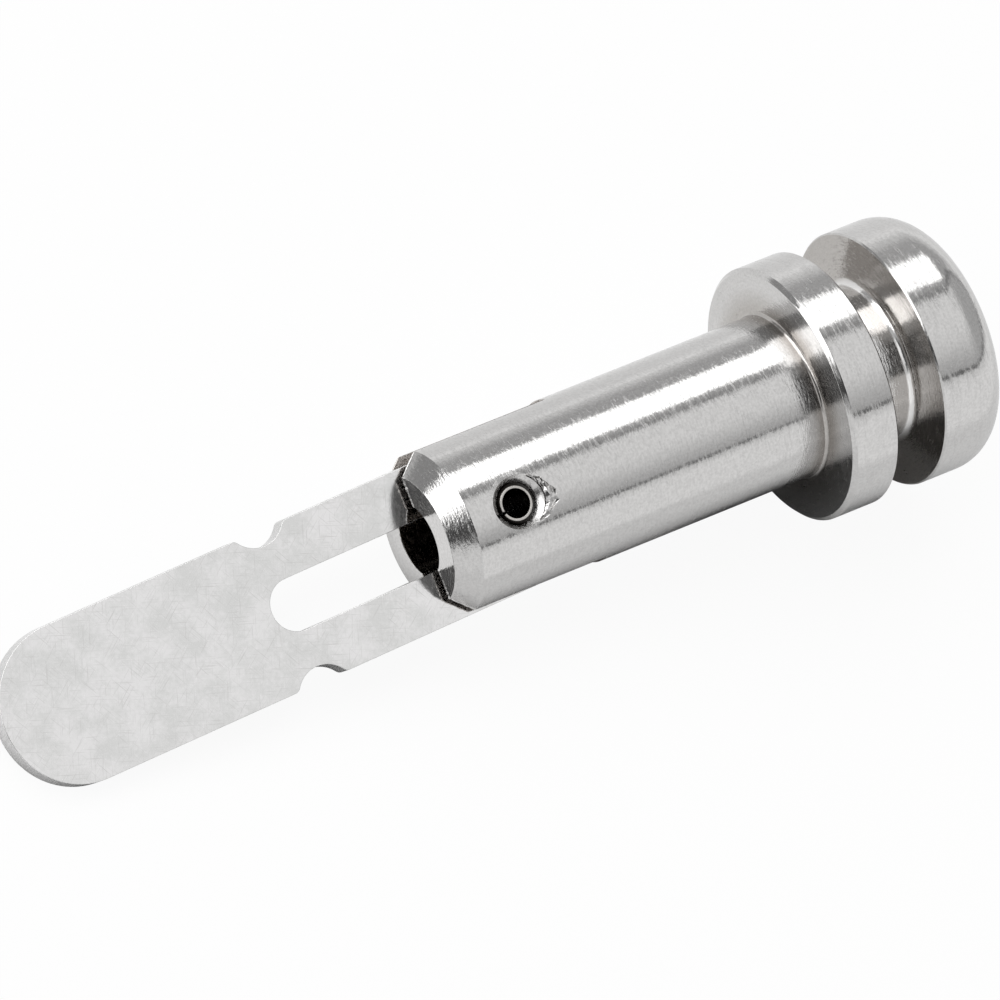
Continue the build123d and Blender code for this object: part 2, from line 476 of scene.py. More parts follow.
def slot_cutter(sizes):
    """Saw cut for the blade."""
    half, far = sizes.slot_width / 2, sizes.shank_diameter
    floor = sizes.slot_depth
    points = [(x, y, z) for x in (-far, floor) for y in (-far, far) for z in (-half, half)]
    faces = [(0, 1, 3, 2), (4, 6, 7, 5), (0, 4, 5, 1), (2, 3, 7, 6), (0, 2, 6, 4), (1, 5, 7, 3)]
    mesh = new_mesh("slot", points, faces)
    outward(mesh)
    return mesh


def turned_normals(mesh, runs, countersink_shift):
    """Give every turned face the exact normals of its outline, so that reflections run true."""
    back = np.array(LAID.inverted())
    turn = back[:3, :3]
    count = len(mesh.vertices)
    at = np.empty(count * 3)
    mesh.vertices.foreach_get("co", at)
    at = at.reshape(-1, 3) @ turn.T + back[:3, 3]
    steps = [step for run in runs for step in zip(run, run[1:])]
    starts, first_normals = (np.array([start[part] for start, _ in steps]) for part in (0, 1))
    ends, last_normals = (np.array([end[part] for _, end in steps]) for part in (0, 1))
    spans = ends - starts
    squares = (spans**2).sum(1)
    middles = (first_normals + last_normals) / 2
    middles /= np.linalg.norm(middles, axis=1)[:, None]
    normals = np.empty((len(mesh.loops), 3))
    for face in mesh.polygons:
        middle = turn @ np.array(face.center) + back[:3, 3]
        facing = turn @ np.array(face.normal)
        radius = hypot(middle[1], middle[2])
        spoke = np.array([middle[1], middle[2]]) / max(radius, 1e-9)
        aside = abs(-facing[1] * spoke[1] + facing[2] * spoke[0])
        flat = np.array([facing[0], facing[1] * spoke[0] + facing[2] * spoke[1]])
        here = np.array([middle[0], radius])
        share = np.clip(((here - starts) * spans).sum(1) / squares, 0, 1)
        gap = np.linalg.norm(starts + spans * share[:, None] - here, axis=1)
        gap += np.where(middles @ flat > FACES_ALIKE, 0.0, 1.0)
        best = int(gap.argmin())
        turned = aside < TURNED_ASIDE and gap[best] < CLOSE
        for corner in face.loop_indices:
            point = at[mesh.loops[corner].vertex_index]
            if not turned:
                normals[corner] = hole_normal(point, facing, countersink_shift)
                continue
            reach = hypot(point[1], point[2])
            out = np.array([point[1], point[2]]) / reach if reach > 1e-6 else spoke
            from_start = np.array([point[0], reach]) - starts[best]
            along = min(max((from_start * spans[best]).sum() / squares[best], 0.0), 1.0)
            pair = first_normals[best] + (last_normals[best] - first_normals[best]) * along
            normals[corner] = (pair[0], pair[1] * out[0], pair[1] * out[1])
    normals /= np.linalg.norm(normals, axis=1)[:, None]
    mesh.shade_smooth()
    mesh.normals_split_custom_set((normals @ turn).tolist())


def hole_normal(point, facing, countersink_shift):
    """The exact normal at a point of the cross hole or countersink, or the face's own on a flat."""
    centre = PIVOT_FROM_NOSE + (countersink_shift if abs(facing[2]) > CONE_LEAN else 0.0)
    away = np.array([point[0] - centre, point[1]])
    reach = np.linalg.norm(away)
    if reach < 1e-6 or abs(facing[2]) > WALL_LEAN or reach > HOLE_REACH:
        return facing
    away /= reach
    inward = facing[0] * away[0] + facing[1] * away[1]
    if hypot(facing[0], facing[1]) - abs(inward) > MISSES_AXIS:
        return facing
    return np.array([inward * away[0], inward * away[1], facing[2]])


def rough_bead(path, thickness, seed):
    """Points and faces of a thin uneven bead along a path of straight runs."""
    chance = np.random.RandomState(seed)
    stops = []
    for start, end in zip(path, path[1:]):
        start, end = Vector(start), Vector(end)
        steps = max(2, round((end - start).length / (thickness * BEAD_STEP)))
        stops += [start.lerp(end, k / steps) for k in range(steps)]
    stops.append(Vector(path[-1]))
    last = len(stops) - 1
    points, faces = [], []
    for k, stop in enumerate(stops):
        along = (stops[min(k + 1, last)] - stops[max(k - 1, 0)]).normalized()
        side = along.orthogonal().normalized()
        other = along.cross(side)
        radius = thickness * chance.uniform(*BEAD_RADII) * (BEAD_TIP if k in (0, last) else 1.0)
        for a in range(BEAD_SIDES):
            turn = 2 * pi * a / BEAD_SIDES
            points.append(tuple(stop + (side * cos(turn) + other * sin(turn)) * radius))
    for low in range(0, last * BEAD_SIDES, BEAD_SIDES):
        high = low + BEAD_SIDES
        for a in range(BEAD_SIDES):
            b = (a + 1) % BEAD_SIDES
            faces.append((low + a, low + b, high + b, high + a))
    top = last * BEAD_SIDES
    faces += [tuple(range(BEAD_SIDES))[::-1], tuple(range(top, top + BEAD_SIDES))]
    return points, faces


def slot_burrs(sizes):
    """The burr that the saw left along the slot's mouth, over the nose face and the chamfer."""
    half, shank = sizes.slot_width / 2, sizes.shank_diameter / 2
    inner, rim = sizes.bore_diameter / 2, sizes.nose_face_diameter / 2
    points, faces = [], []
    for seed, (up, aside) in enumerate([(1, 1), (1, -1), (-1, 1), (-1, -1)]):
        path = [
            (x, aside * sqrt(r * r - half * half), up * half)
            for x, r in ((0.0, inner), (0.0, rim), (sizes.nose_chamfer, shank))
        ]
        more, sides = rough_bead(path, sizes.saw_burr, seed)
        faces += [tuple(n + len(points) for n in face) for face in sides]
        points += more
    return points, faces


# The torn skin beside the cross hole, towards the head, where the drill broke through: the way
# round the hole in degrees from the head's side, its reach from the hole's axis and the height
# of its lip, in millimetres
TORN_SKIN = (
    (50, 1.36, 0.00), (44, 1.46, 0.10), (38, 1.50, 0.06), (32, 1.52, 0.13), (27, 1.64, 0.14),
    (21, 1.60, 0.12), (15, 1.66, 0.15), (9, 1.70, 0.14), (4, 1.80, 0.18), (-1, 1.90, 0.19),
    (-6, 1.98, 0.15), (-11, 1.92, 0.06), (-16, 2.02, 0.12), (-21, 1.90, 0.05), (-26, 1.80, 0.10),
    (-32, 1.74, 0.05), (-38, 1.66, 0.08), (-45, 1.58, 0.04), (-52, 1.50, 0.05), (-60, 1.42, 0.0),
)
TORN_FROM_MOUTH = 0.03 * MM
TORN_THICKNESS = 0.15 * MM

# Its rows from the hole's mouth to just past the lip, as shares of the reach. The rows between
# stray from their places, by shares of the reach, by degrees and in height by millimetres.
TORN_ROWS = (0.0, 0.3, 0.55, 0.78, 1.0, 1.05)
BROKEN_ROWS = (1, 2, 3)
STRAYS = ((-0.07, 0.07), (-2.5, 2.5), (-0.03, 0.06))


def torn_skin(sizes):
    """Points and faces of the torn patch: broken facets that rise to a jagged lip."""
    chance = np.random.RandomState(5)
    shank, inner = sizes.shank_diameter / 2, sizes.countersink / 2 - TORN_FROM_MOUTH
    points = []
    for degrees, reach, lip in TORN_SKIN:
        heights = (-0.06, 0.2 * lip, 0.015, 0.1 * lip, lip, -0.06)
        for row, (share, height) in enumerate(zip(TORN_ROWS, heights)):
            strays = [chance.uniform(*span) if row in BROKEN_ROWS else 0.0 for span in STRAYS]
            out = inner + (reach * MM - inner) * (share + strays[0])
            turn = radians(degrees + strays[1])
            rise = (height + strays[2]) * MM
            x, y = out * cos(turn), out * sin(turn)
            x += PIVOT_FROM_NOSE + sizes.countersink_shift * (1 - share)
            points.append((x, y, sqrt(shank**2 - y * y) + rise))
    wide = len(TORN_ROWS)
    edge = [spoke * wide for spoke in range(len(TORN_SKIN))]
    faces = []
    for here, following in zip(edge, edge[1:]):
        for k in range(wide - 1):
            a, b = here + k, following + k
            faces += [(a, b, a + 1), (a + 1, b, b + 1)]
    top = len(points)
    points += [(x, y, z - TORN_THICKNESS) for x, y, z in points]
    faces += [tuple(n + top for n in reversed(face)) for face in faces]
    rim = edge + [edge[-1] + k for k in range(1, wide)]
    rim += [n + wide - 1 for n in reversed(edge[:-1])]
    rim += range(wide - 2, 0, -1)
    faces += [(a, a + top, b + top, b) for a, b in zip(rim, rim[1:] + rim[:1])]
    return points, faces


# Blade


def blade_outline(sizes):
    """Outer edge of the blade about its middle, anticlockwise, so that its normals point out."""
    half, end, notch = sizes.width / 2, (sizes.length - sizes.width) / 2, sizes.notch_radius
    notch_y = half - sizes.notch_depth + notch
    corner, reach = sizes.notch_corner, notch + sizes.notch_corner
    corner_y = half - corner
    corner_x = sqrt(reach**2 - (notch_y - corner_y) ** 2)
    tip = atan2(notch_y - corner_y, corner_x)
    notched = [
        arc((-corner_x, corner_y), corner, pi / 2, tip, radians(10))[::-1],
        arc((0.0, notch_y), notch, pi + tip, 2 * pi - tip, radians(6))[::-1],
        arc((corner_x, corner_y), corner, pi - tip, pi / 2, radians(10))[::-1],
    ]
    upper = arc((end, 0.0), half, -pi / 2, pi / 2, radians(3))
    for run in reversed(notched):
        upper += run
    half_way = [point for point, _ in upper]
    outline = []
    for x, y in half_way + [(-x, -y) for x, y in half_way]:
        if not outline or hypot(x - outline[-1][0], y - outline[-1][1]) > 1e-8:
            outline.append((x, y))
    return with_normals(outline)


def slot_outline(sizes, side_play):
    """Edge of the blade's long slot, clockwise, so that its normals point into the slot. It ends
    side_play past the blade's middle, where the roll pin stops the blade as it drops."""
    radius = sizes.slot_width / 2
    left, right = side_play, sizes.length / 2 - sizes.pivot_to_end
    outline = [p for p, _ in arc((right, 0.0), radius, pi / 2, -pi / 2, radians(5))]
    outline += [p for p, _ in arc((left, 0.0), radius, -pi / 2, -3 * pi / 2, radians(5))]
    return with_normals(outline)


def with_normals(outline):
    """Each point of a closed outline with the normal on its right."""
    made = []
    for k, point in enumerate(outline):
        before, after = Vector(outline[k - 1]), Vector(outline[(k + 1) % len(outline)])
        here = Vector(point)
        along = (here - before).normalized() + (after - here).normalized()
        along.normalize()
        made.append((point, (along.y, -along.x)))
    return made


def plate(outer, inner, thickness, edge, place):
    """Points, faces and normals of a flat plate with a hole and rounded edges."""
    steps = 5
    levels = []
    for k in range(steps + 1):
        tilt = pi / 2 * (1 - k / steps)
        level = -thickness / 2 + edge - edge * sin(tilt)
        levels.append((level, edge - edge * cos(tilt), -tilt))
    levels += [(-level, inset, -tilt) for level, inset, tilt in reversed(levels)]
    points, normals, faces, loops = [], [], [], []
    for outline in (outer, inner):
        rings = []
        for z, inset, angle in levels:
            rings.append(len(points))
            for (x, y), (nx, ny) in outline:
                points.append(place((x - nx * inset, y - ny * inset, z)))
                normals.append((cos(angle) * nx, cos(angle) * ny, sin(angle)))
        size = len(outline)
        for low, high in zip(rings, rings[1:]):
            for k in range(size):
                n = (k + 1) % size
                faces.append((low + k, low + n, high + n, high + k))
        loops.append((rings[0], rings[-1], size))
    for end in (0, 1):
        rims = [[Vector(points[entry[end] + k]) for k in range(entry[2])] for entry in loops]
        numbers = [entry[end] + k for entry in loops for k in range(entry[2])]
        for a, b, c in tessellate_polygon(rims):
            faces.append((numbers[a], numbers[b], numbers[c]))
    return points, faces, normals


# Materials

RAMP = ("Value", "From Min", "From Max", "To Min", "To Max")

# A Mix node's colours share their names with its numbers, so they are set by their places
COLOUR_A, COLOUR_B = 6, 7

# Sizes of the metals' patterns. The real rings, flecks and scratches are finer, and are drawn
# here as coarse as they need to show. A ring's marks have RING_LENGTH at RING_RADIUS.
RING_SPACING = 0.1 * MM
RING_LENGTH = 0.4 * MM
RING_RADIUS = 4.0 * MM
FLECKS = 0.13 * MM
POLISHED_PATCHES = 0.7 * MM
TUMBLED_PATCHES = 1.6 * MM
TUMBLED_SPECKS = 0.2 * MM
SCRATCH_LENGTH = 1.5 * MM
SCRATCH_WIDTH = 0.06 * MM
SCRATCH_TURNS = (0.3, 1.0, 1.9, 2.5)
SKIN_PATCHES = 0.25 * MM
BALL_PATCHES = 0.4 * MM

# How deep the polish waves and the tool's rings are cut, and how deep on the chattered chamfer
WAVES, CHAMFER_WAVES = 0.003 * MM, 0.011 * MM
RINGS, CHAMFER_RINGS = 0.010 * MM, 0.025 * MM
STRIP_RELIEF = 0.012 * MM
SKIN_RELIEF = 0.02 * MM
ROUGHER_INSIDE = 0.12


def pin_coordinates(tree):
    """Object coordinates turned into the drawing of the pin, with its axis along X."""
    held = add_node(tree, "ShaderNodeTexCoord").outputs["Object"]
    back = LAID.inverted()
    return add_node(
        tree, "ShaderNodeMapping",
        {"Vector": held, "Location": back.translation, "Rotation": tuple(back.to_euler())},
        vector_type="POINT",
    )


def from_axis(tree, a, b):
    """Distance from an axis, from the two coordinates across it."""
    squared = add_node(tree, "ShaderNodeMath", {0: a, 1: a}, operation="MULTIPLY")
    total = add_node(tree, "ShaderNodeMath", {0: b, 1: b, 2: squared}, operation="MULTIPLY_ADD")
    return add_node(tree, "ShaderNodeMath", {0: total}, operation="SQRT")


def tool_rings(tree, x, y, z, radius):
    """Noise drawn out round the pin: fine lines on cylinders and fine rings on faces."""
    add = partial(add_node, tree)
    turns = RING_RADIUS / RING_LENGTH
    along, out = (
        add("ShaderNodeMath", {0: place, 1: 1 / RING_SPACING}, operation="MULTIPLY")
        for place in (x, radius)
    )
    spokes = [add("ShaderNodeMath", {0: place, 1: radius}, operation="DIVIDE") for place in (y, z)]
    across, up = (
        add("ShaderNodeMath", {0: spoke, 1: turns}, operation="MULTIPLY") for spoke in spokes
    )
    vector = add("ShaderNodeCombineXYZ", {0: along, 1: out, 2: across})
    return add(
        "ShaderNodeTexNoise",
        {"Vector": vector, "W": up, "Scale": 1.0, "Detail": 3.0, "Roughness": 0.6},
        noise_dimensions="4D",
    )


def metal(name, hex_value, roughness):
    """A bare metal at its mean colour and roughness, and the shader that takes its pattern."""
    material = bpy.data.materials.new(name)
    material.use_nodes = True
    shader = material.node_tree.nodes["Principled BSDF"]
    mean = {"Base Color": linear(hex_value), "Metallic": 1.0, "Roughness": roughness}
    plug(material.node_tree, shader, mean)
    return material, shader


def turned_stainless(finishes, sizes):
    """Stainless bar, turned and then polished in the lathe: bright, with fine rings left by the
    tool and the cloth, which fray the edges of very bright reflections and leave dark ones sharp.
    The nose chamfer keeps the chatter of its tool, and the inside walls stay dull, with painted
    shade darkening the bore and the cross hole."""
    material, shader = metal("turned_stainless", finishes.turned, 0.1)
    tree = material.node_tree
    add = partial(add_node, tree)
    held = pin_coordinates(tree)
    x, y, z = add("ShaderNodeSeparateXYZ", {0: held}).outputs
    height = add("ShaderNodeMath", {0: z}, operation="ABSOLUTE")
    ahead = add("ShaderNodeMath", {0: x, 1: PIVOT_FROM_NOSE}, operation="SUBTRACT")
    from_pin, from_hole = from_axis(tree, y, z), from_axis(tree, ahead, y)
    middle = sizes.shank_length + sizes.flange_length + sizes.groove_length / 2
    off_middle = add("ShaderNodeMath", {0: x, 1: middle}, operation="SUBTRACT")
    from_groove = add("ShaderNodeMath", {0: off_middle}, operation="ABSOLUTE")
    sunk = sizes.countersink / 2 + sizes.countersink_shift
    # Each part of the body is where all its distances are under their limits
    limits = {
        "slot": ((height, sizes.slot_width / 2), (x, sizes.slot_depth)),
        "bore": ((from_pin, sizes.bore_diameter / 2), (x, sizes.bore_depth + sizes.bore_diameter)),
        "cross hole": ((from_hole, sizes.hole_diameter / 2),),
        "countersink": ((from_hole, sunk),),
        "nose face": ((x, 0.0),),
        "chamfer": ((x, sizes.nose_chamfer),),
        "groove": ((from_groove, sizes.groove_length / 2),),
        "before the flange": ((x, sizes.shank_length),),
    }
    share = {}
    for part, pairs in limits.items():
        share[part] = 1.0
        for distance, limit in pairs:
            under = add("ShaderNodeMath", {0: distance, 1: limit + HAIR}, operation="LESS_THAN")
            both = {0: under, 1: share[part]}
            share[part] = add("ShaderNodeMath", both, operation="MULTIPLY", label=part)
    lines = tool_rings(tree, x, y, z, from_pin)
    flecks, cloud = (
        add("ShaderNodeTexNoise", {"Vector": held, "Scale": 1 / size, "Detail": detail})
        for size, detail in ((FLECKS, 3.0), (POLISHED_PATCHES, 4.0))
    )
    patchy = add("ShaderNodeMath", {0: lines, 1: 0.6, 2: flecks}, operation="MULTIPLY_ADD")
    on_chamfer = add(
        "ShaderNodeMath", {0: share["chamfer"], 1: share["nose face"]}, operation="SUBTRACT"
    )
    end, shank, neck = sizes.shank_length, sizes.shank_diameter / 2, sizes.neck_diameter / 2
    # Each ramp follows something from one value to another, and gives a value at either end
    ramps = {
        "dull rings": (patchy, 0.64, 0.96, 0.0, 1.0, "LINEAR"),
        "last of the shank": (x, end - 0.9 * MM, end - 0.1 * MM, 0.0, 1.0, "SMOOTHSTEP"),
        "foot of the flange": (from_pin, shank + 1.4 * MM, shank + 0.4 * MM, 0.0, 1.0, "LINEAR"),
        "off the neck": (from_pin, neck + HAIR, neck + sizes.neck_fillet, 0.0, 1.0, "LINEAR"),
        "rough rings": (lines, 0.46, 0.66, 0.05, 0.26, "SMOOTHSTEP"),
        "rough patches": (cloud, 0.4, 0.7, 0.0, 0.04, "LINEAR"),
        "smoother face": (share["nose face"], 0.0, 1.0, 1.0, 0.5, "LINEAR"),
        "waves": (on_chamfer, 0.0, 1.0, WAVES, CHAMFER_WAVES, "LINEAR"),
        "rings": (on_chamfer, 0.0, 1.0, RINGS, CHAMFER_RINGS, "LINEAR"),
    }
    ramp = {
        label: add(
            "ShaderNodeMapRange", dict(zip(RAMP, values)), interpolation_type=way, label=label
        )
        for label, (*values, way) in ramps.items()
    }
    # Painted shade in the inside corner where the shank meets the flange, and on the groove's walls
    corner = add(
        "ShaderNodeMath", {0: ramp["last of the shank"], 1: ramp["foot of the flange"]},
        operation="MULTIPLY",
    )
    walls = add(
        "ShaderNodeMath", {0: ramp["off the neck"], 1: share["groove"]}, operation="MULTIPLY"
    )
    painted_recess_shade = add(
        "ShaderNodeMath", {0: corner, 1: share["before the flange"], 2: walls},
        operation="MULTIPLY_ADD",
    )
    # The neck's bottom between the groove's walls, which gets painted light
    painted_neck_light = add("ShaderNodeMath", {0: share["groove"], 1: walls}, operation="SUBTRACT")
    tone = linear(finishes.turned)
    for cover, finish, blend in (
        (ramp["dull rings"], finishes.turned_dull, "MIX"),
        # painted shade in the corner and on the groove's walls
        (painted_recess_shade, finishes.recess_shade, "MULTIPLY"),
        # painted light on the neck
        (painted_neck_light, finishes.neck, "MIX"),
        (share["slot"], finishes.sawn, "MIX"),
        # painted shade in the bore and the cross hole
        (share["bore"], finishes.drilled_hole_shade, "MIX"),
        (share["cross hole"], finishes.drilled_hole_shade, "MIX"),
    ):
        over = {"Factor": cover, COLOUR_A: tone, COLOUR_B: linear(finish)}
        tone = add("ShaderNodeMix", over, data_type="RGBA", blend_type=blend)
    worn = add(
        "ShaderNodeMath", {0: ramp["rough rings"], 1: ramp["rough patches"]}, operation="ADD"
    )
    worn = add("ShaderNodeMath", {0: worn, 1: ramp["smoother face"]}, operation="MULTIPLY")
    for part in ("slot", "bore", "countersink"):
        rougher = {0: share[part], 1: ROUGHER_INSIDE, 2: worn}
        worn = add("ShaderNodeMath", rougher, operation="MULTIPLY_ADD")
    wave = add("ShaderNodeBump", {"Height": cloud, "Strength": 1.0, "Distance": ramp["waves"]})
    ring = add(
        "ShaderNodeBump",
        {"Height": lines, "Strength": 1.0, "Distance": ramp["rings"], "Normal": wave},
    )
    plug(tree, shader, {"Base Color": tone, "Roughness": worn, "Normal": ring})
    return material


def stainless_strip(finishes):
    """Cold rolled stainless strip, stamped and tumbled: bright and even, with faint duller
    patches, fine specks and short scratches every way."""
    material, shader = metal("stainless_strip", finishes.strip, 0.14)
    tree = material.node_tree
    add = partial(add_node, tree)
    held = add("ShaderNodeTexCoord").outputs["Object"]
    cloud, specks = (
        add("ShaderNodeTexNoise", {"Vector": held, "Scale": 1 / size, "Detail": 5.0})
        for size in (TUMBLED_PATCHES, TUMBLED_SPECKS)
    )
    patchy, height = (
        add("ShaderNodeMath", {0: specks, 1: share, 2: cloud}, operation="MULTIPLY_ADD")
        for share in (0.5, 0.03)
    )
    rough, dull = (
        add("ShaderNodeMapRange", dict(zip(RAMP, values)))
        for values in ((cloud, 0.3, 0.7, 0.09, 0.2), (patchy, 0.6, 0.9, 0.0, 1.0))
    )
    strip, patch = linear(finishes.strip), linear(finishes.strip_dull)
    over = {"Factor": dull, COLOUR_A: strip, COLOUR_B: patch}
    tone = add("ShaderNodeMix", over, data_type="RGBA")
    drawn_out = (1 / SCRATCH_LENGTH, 1 / SCRATCH_WIDTH, 0.0)
    for turn in SCRATCH_TURNS:
        turned = add("ShaderNodeMapping", {"Vector": held, "Rotation": (0.0, 0.0, turn)})
        drawn = add("ShaderNodeVectorMath", {0: turned, 1: drawn_out}, operation="MULTIPLY")
        scratch = add("ShaderNodeTexNoise", {"Vector": drawn, "Scale": 1.0, "Detail": 1.0})
        height = add("ShaderNodeMath", {0: scratch, 1: 0.03, 2: height}, operation="MULTIPLY_ADD")
        mark = add("ShaderNodeMapRange", {"Value": scratch, "From Min": 0.62, "From Max": 0.8})
        over = {"Factor": mark, COLOUR_A: tone, COLOUR_B: linear(finishes.strip_marks)}
        tone = add("ShaderNodeMix", over, data_type="RGBA")
    bump = add("ShaderNodeBump", {"Height": height, "Strength": 1.0, "Distance": STRIP_RELIEF})
    plug(tree, shader, {"Base Color": tone, "Roughness": rough, "Normal": bump})
    return material


def spring_steel(finishes, bright_from):
    """Hardened spring steel under a dark skin, bright where it was sheared: bright_from is how far
    from the pin's axis the sheared ends lie."""
    material, shader = metal("spring_steel", finishes.spring, 0.25)
    tree = material.node_tree
    add = partial(add_node, tree)
    held = pin_coordinates(tree)
    up = add("ShaderNodeSeparateXYZ", {0: held}).outputs[2]
    height = add("ShaderNodeMath", {0: up}, operation="ABSOLUTE")
    cloud = add("ShaderNodeTexNoise", {"Vector": held, "Scale": 1 / SKIN_PATCHES, "Detail": 4.0})
    sheared, rough = (
        add("ShaderNodeMapRange", dict(zip(RAMP, values)))
        for values in (
            (height, bright_from - 0.03 * MM, bright_from - 0.01 * MM, 0.0, 1.0),
            (cloud, 0.3, 0.7, 0.2, 0.45),
        )
    )
    skin, bright = linear(finishes.spring_skin), linear(finishes.spring)
    over = {"Factor": sheared, COLOUR_A: skin, COLOUR_B: bright}
    tone = add("ShaderNodeMix", over, data_type="RGBA")
    bump = add("ShaderNodeBump", {"Height": cloud, "Strength": 1.0, "Distance": SKIN_RELIEF})
    plug(tree, shader, {"Base Color": tone, "Roughness": rough, "Normal": bump})
    return material


def ball_steel(finishes):
    """Ground and polished bearing steel."""
    material, shader = metal("ball_steel", finishes.ball, 0.06)
    tree = material.node_tree
    held = add_node(tree, "ShaderNodeTexCoord").outputs["Object"]
    cloud = add_node(
        tree, "ShaderNodeTexNoise", {"Vector": held, "Scale": 1 / BALL_PATCHES, "Detail": 2.0}
    )
    rough = add_node(tree, "ShaderNodeMapRange", {"Value": cloud, "To Min": 0.04, "To Max": 0.1})
    plug(tree, shader, {"Roughness": rough})
    return material


# Operators


class TurnedBody(bpy.types.Operator):
    """Turn the body, cut its slot, bore and cross hole, and polish it."""

    bl_idname = "drop_nose_pin.turned_body"
    bl_label = "Turned Body"

    def execute(self, context):
        sizes = context.scene.pin_turned_body
        runs = body_runs(sizes)
        blank = new_mesh("blank", *lathe(runs, sizes.sides, about_pin))
        outward(blank)
        mesh = cut(blank, [slot_cutter(sizes)] + hole_cutters(sizes))
        mesh.name = "turned_body"
        turned_normals(mesh, runs, sizes.countersink_shift)
        material = turned_stainless(context.scene.pin_finishes, sizes)
        finish_piece("turned_body", mesh, material, "pin_body", "turned_stainless", "pin_body")
        for name, made in (("slot_burrs", slot_burrs(sizes)), ("torn_skin", torn_skin(sizes))):
            burr = new_mesh(name, *made)
            outward(burr)
            finish_piece(name, burr, material, "pin_body", "turned_stainless")
        return {"FINISHED"}


class Blade(bpy.types.Operator):
    """Stamp the blade from strip and hang it on the roll pin."""

    bl_idname = "drop_nose_pin.blade"
    bl_label = "Blade"

    def execute(self, context):
        sizes = context.scene.pin_blade
        pin_diameter = context.scene.pin_roll_pin.diameter
        travel = sizes.length / 2 - sizes.pivot_to_end
        sag = (sizes.slot_width - pin_diameter) / 2 - sizes.pivot_clearance
        lean = Matrix.Rotation(sizes.lean, 4, "Z")
        hang = Matrix.Translation((PIVOT_FROM_NOSE, 0, 0)) @ lean
        hang = hang @ Matrix.Translation((-travel, -sag, 0))
        side_play = (sizes.slot_width - pin_diameter) / 2
        outer, inner = blade_outline(sizes), slot_outline(sizes, side_play)
        points, faces, normals = plate(
            outer, inner, sizes.thickness, sizes.edge_round, lambda p: tuple(hang @ Vector(p))
        )
        mesh = new_mesh("blade", points, faces)
        material = stainless_strip(context.scene.pin_finishes)
        outward_now = LAID.to_3x3() @ lean.to_3x3()
        mesh.shade_smooth()
        mesh.normals_split_custom_set_from_vertices([outward_now @ Vector(n) for n in normals])
        finish_piece("blade", mesh, material, "drop_nose", "stainless_strip", "drop_nose")
        return {"FINISHED"}


class RollPin(bpy.types.Operator):
    """Roll the spring pin and press it into the cross hole."""

    bl_idname = "drop_nose_pin.roll_pin"
    bl_label = "Roll Pin"

    def execute(self, context):
        sizes = context.scene.pin_roll_pin
        shank = context.scene.pin_turned_body.shank_diameter / 2
        outer, half = sizes.diameter / 2, shank - sizes.recess
        inner, slope = outer - sizes.wall, sizes.chamfer
        corners = ((half, inner), (half, outer - slope), (half - slope, outer))
        far = [(-u, r, sizes.edge_round) for u, r in corners]
        near = [(u, r, sizes.edge_round) for u, r in reversed(corners)]
        runs = rounded_path(far + near, closed=True)
        gap = sizes.slit / outer
        points, faces = lathe(
            runs, ROUND_SIDES, about_roll_pin, first=sizes.slit_turn + gap / 2, sweep=2 * pi - gap
        )
        mesh = new_mesh("roll_pin", points, faces)
        outward(mesh)
        mesh.shade_smooth()
        mesh.set_sharp_from_angle(angle=radians(35))
        material = spring_steel(context.scene.pin_finishes, half)
        finish_piece("roll_pin_tube", mesh, material, "pin_body", "spring_steel", "roll_pin")
        return {"FINISHED"}


class Detent(bpy.types.Operator):
    """Wind the detent spring behind its polished ball."""

    bl_idname = "drop_nose_pin.detent"
    bl_label = "Ball and Spring"

    def execute(self, context):
        sizes = context.scene.pin_detent
        finishes = context.scene.pin_finishes
        ball = frame["nodes"]["detent_ball"]
        ball.data.materials.clear()
        ball.data.materials.append(ball_steel(finishes))
        ends = [(LAID.inverted() @ v.co).x for v in frame["nodes"]["detent_spring"].data.vertices]
        wire = sizes.wire_diameter / 2
        first, last = min(ends) + wire, max(ends) - wire
        material = spring_steel(finishes, context.scene.pin_turned_body.shank_diameter)
        span = last - first
        wanted = {
            "Turns": sizes.turns,
            "Length": span,
            "Coil Radius": sizes.coil_diameter / 2 - wire,
            "Wire Radius": wire,
        }
        tree = coil_tree(material, wanted)
        carrier = new_object("detent_coil", bpy.data.meshes.new("coil"))
        modifier = carrier.modifiers.new("coil", "NODES")
        modifier.node_group = tree
        for item in tree.interface.items_tree:
            if item.item_type == "SOCKET" and item.in_out == "INPUT":
                modifier[item.identifier] = wanted[item.name]
        bpy.context.view_layer.update()
        made = carrier.evaluated_get(context.evaluated_depsgraph_get())
        mesh = bpy.data.meshes.new_from_object(made)
        bpy.data.objects.remove(carrier)
        lie = Matrix.Translation((first, 0, 0)) @ Matrix.Rotation(pi / 2, 4, "Y")
        mesh.transform(LAID @ lie)
        mesh.shade_smooth()
        coil = finish_piece(
            "detent_coil", mesh, material, "pin_body", "spring_steel", "detent_spring"
        )
        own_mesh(coil)
        return {"FINISHED"}


